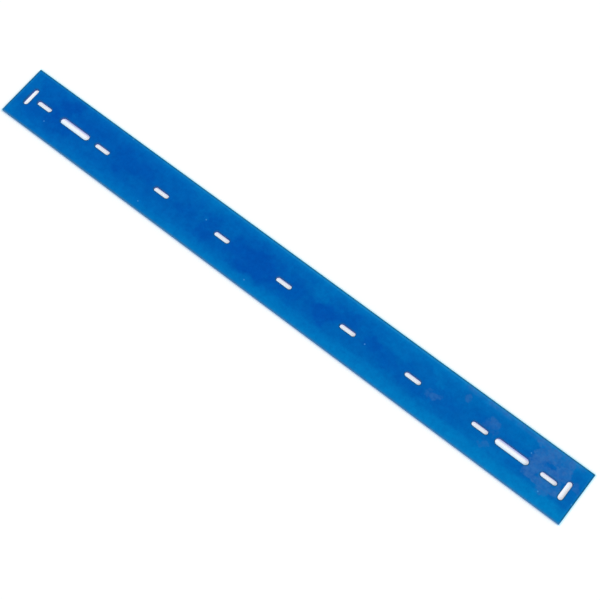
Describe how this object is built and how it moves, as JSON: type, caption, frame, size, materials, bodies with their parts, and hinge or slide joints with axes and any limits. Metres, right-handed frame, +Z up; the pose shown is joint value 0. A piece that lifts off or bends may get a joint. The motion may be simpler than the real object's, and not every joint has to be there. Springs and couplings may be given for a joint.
{
  "type": "plow blade strip",
  "caption": "Flat flexible polyurethane blade strip for the bottom edge of an ATV snow plow, slotted along its middle for clamping bolts.",
  "frame": {"origin": "middle of the underside, the face the strip lies on", "axes": "+X along the strip, +Y across it towards a long edge, +Z up through its thickness"},
  "size_m": [1.3716, 0.1174, 0.0063],
  "materials": {
    "polyurethane": "satin"
  },
  "bodies": {
    "root": {"blade_strip": "polyurethane"}
  },
  "joints": []
}
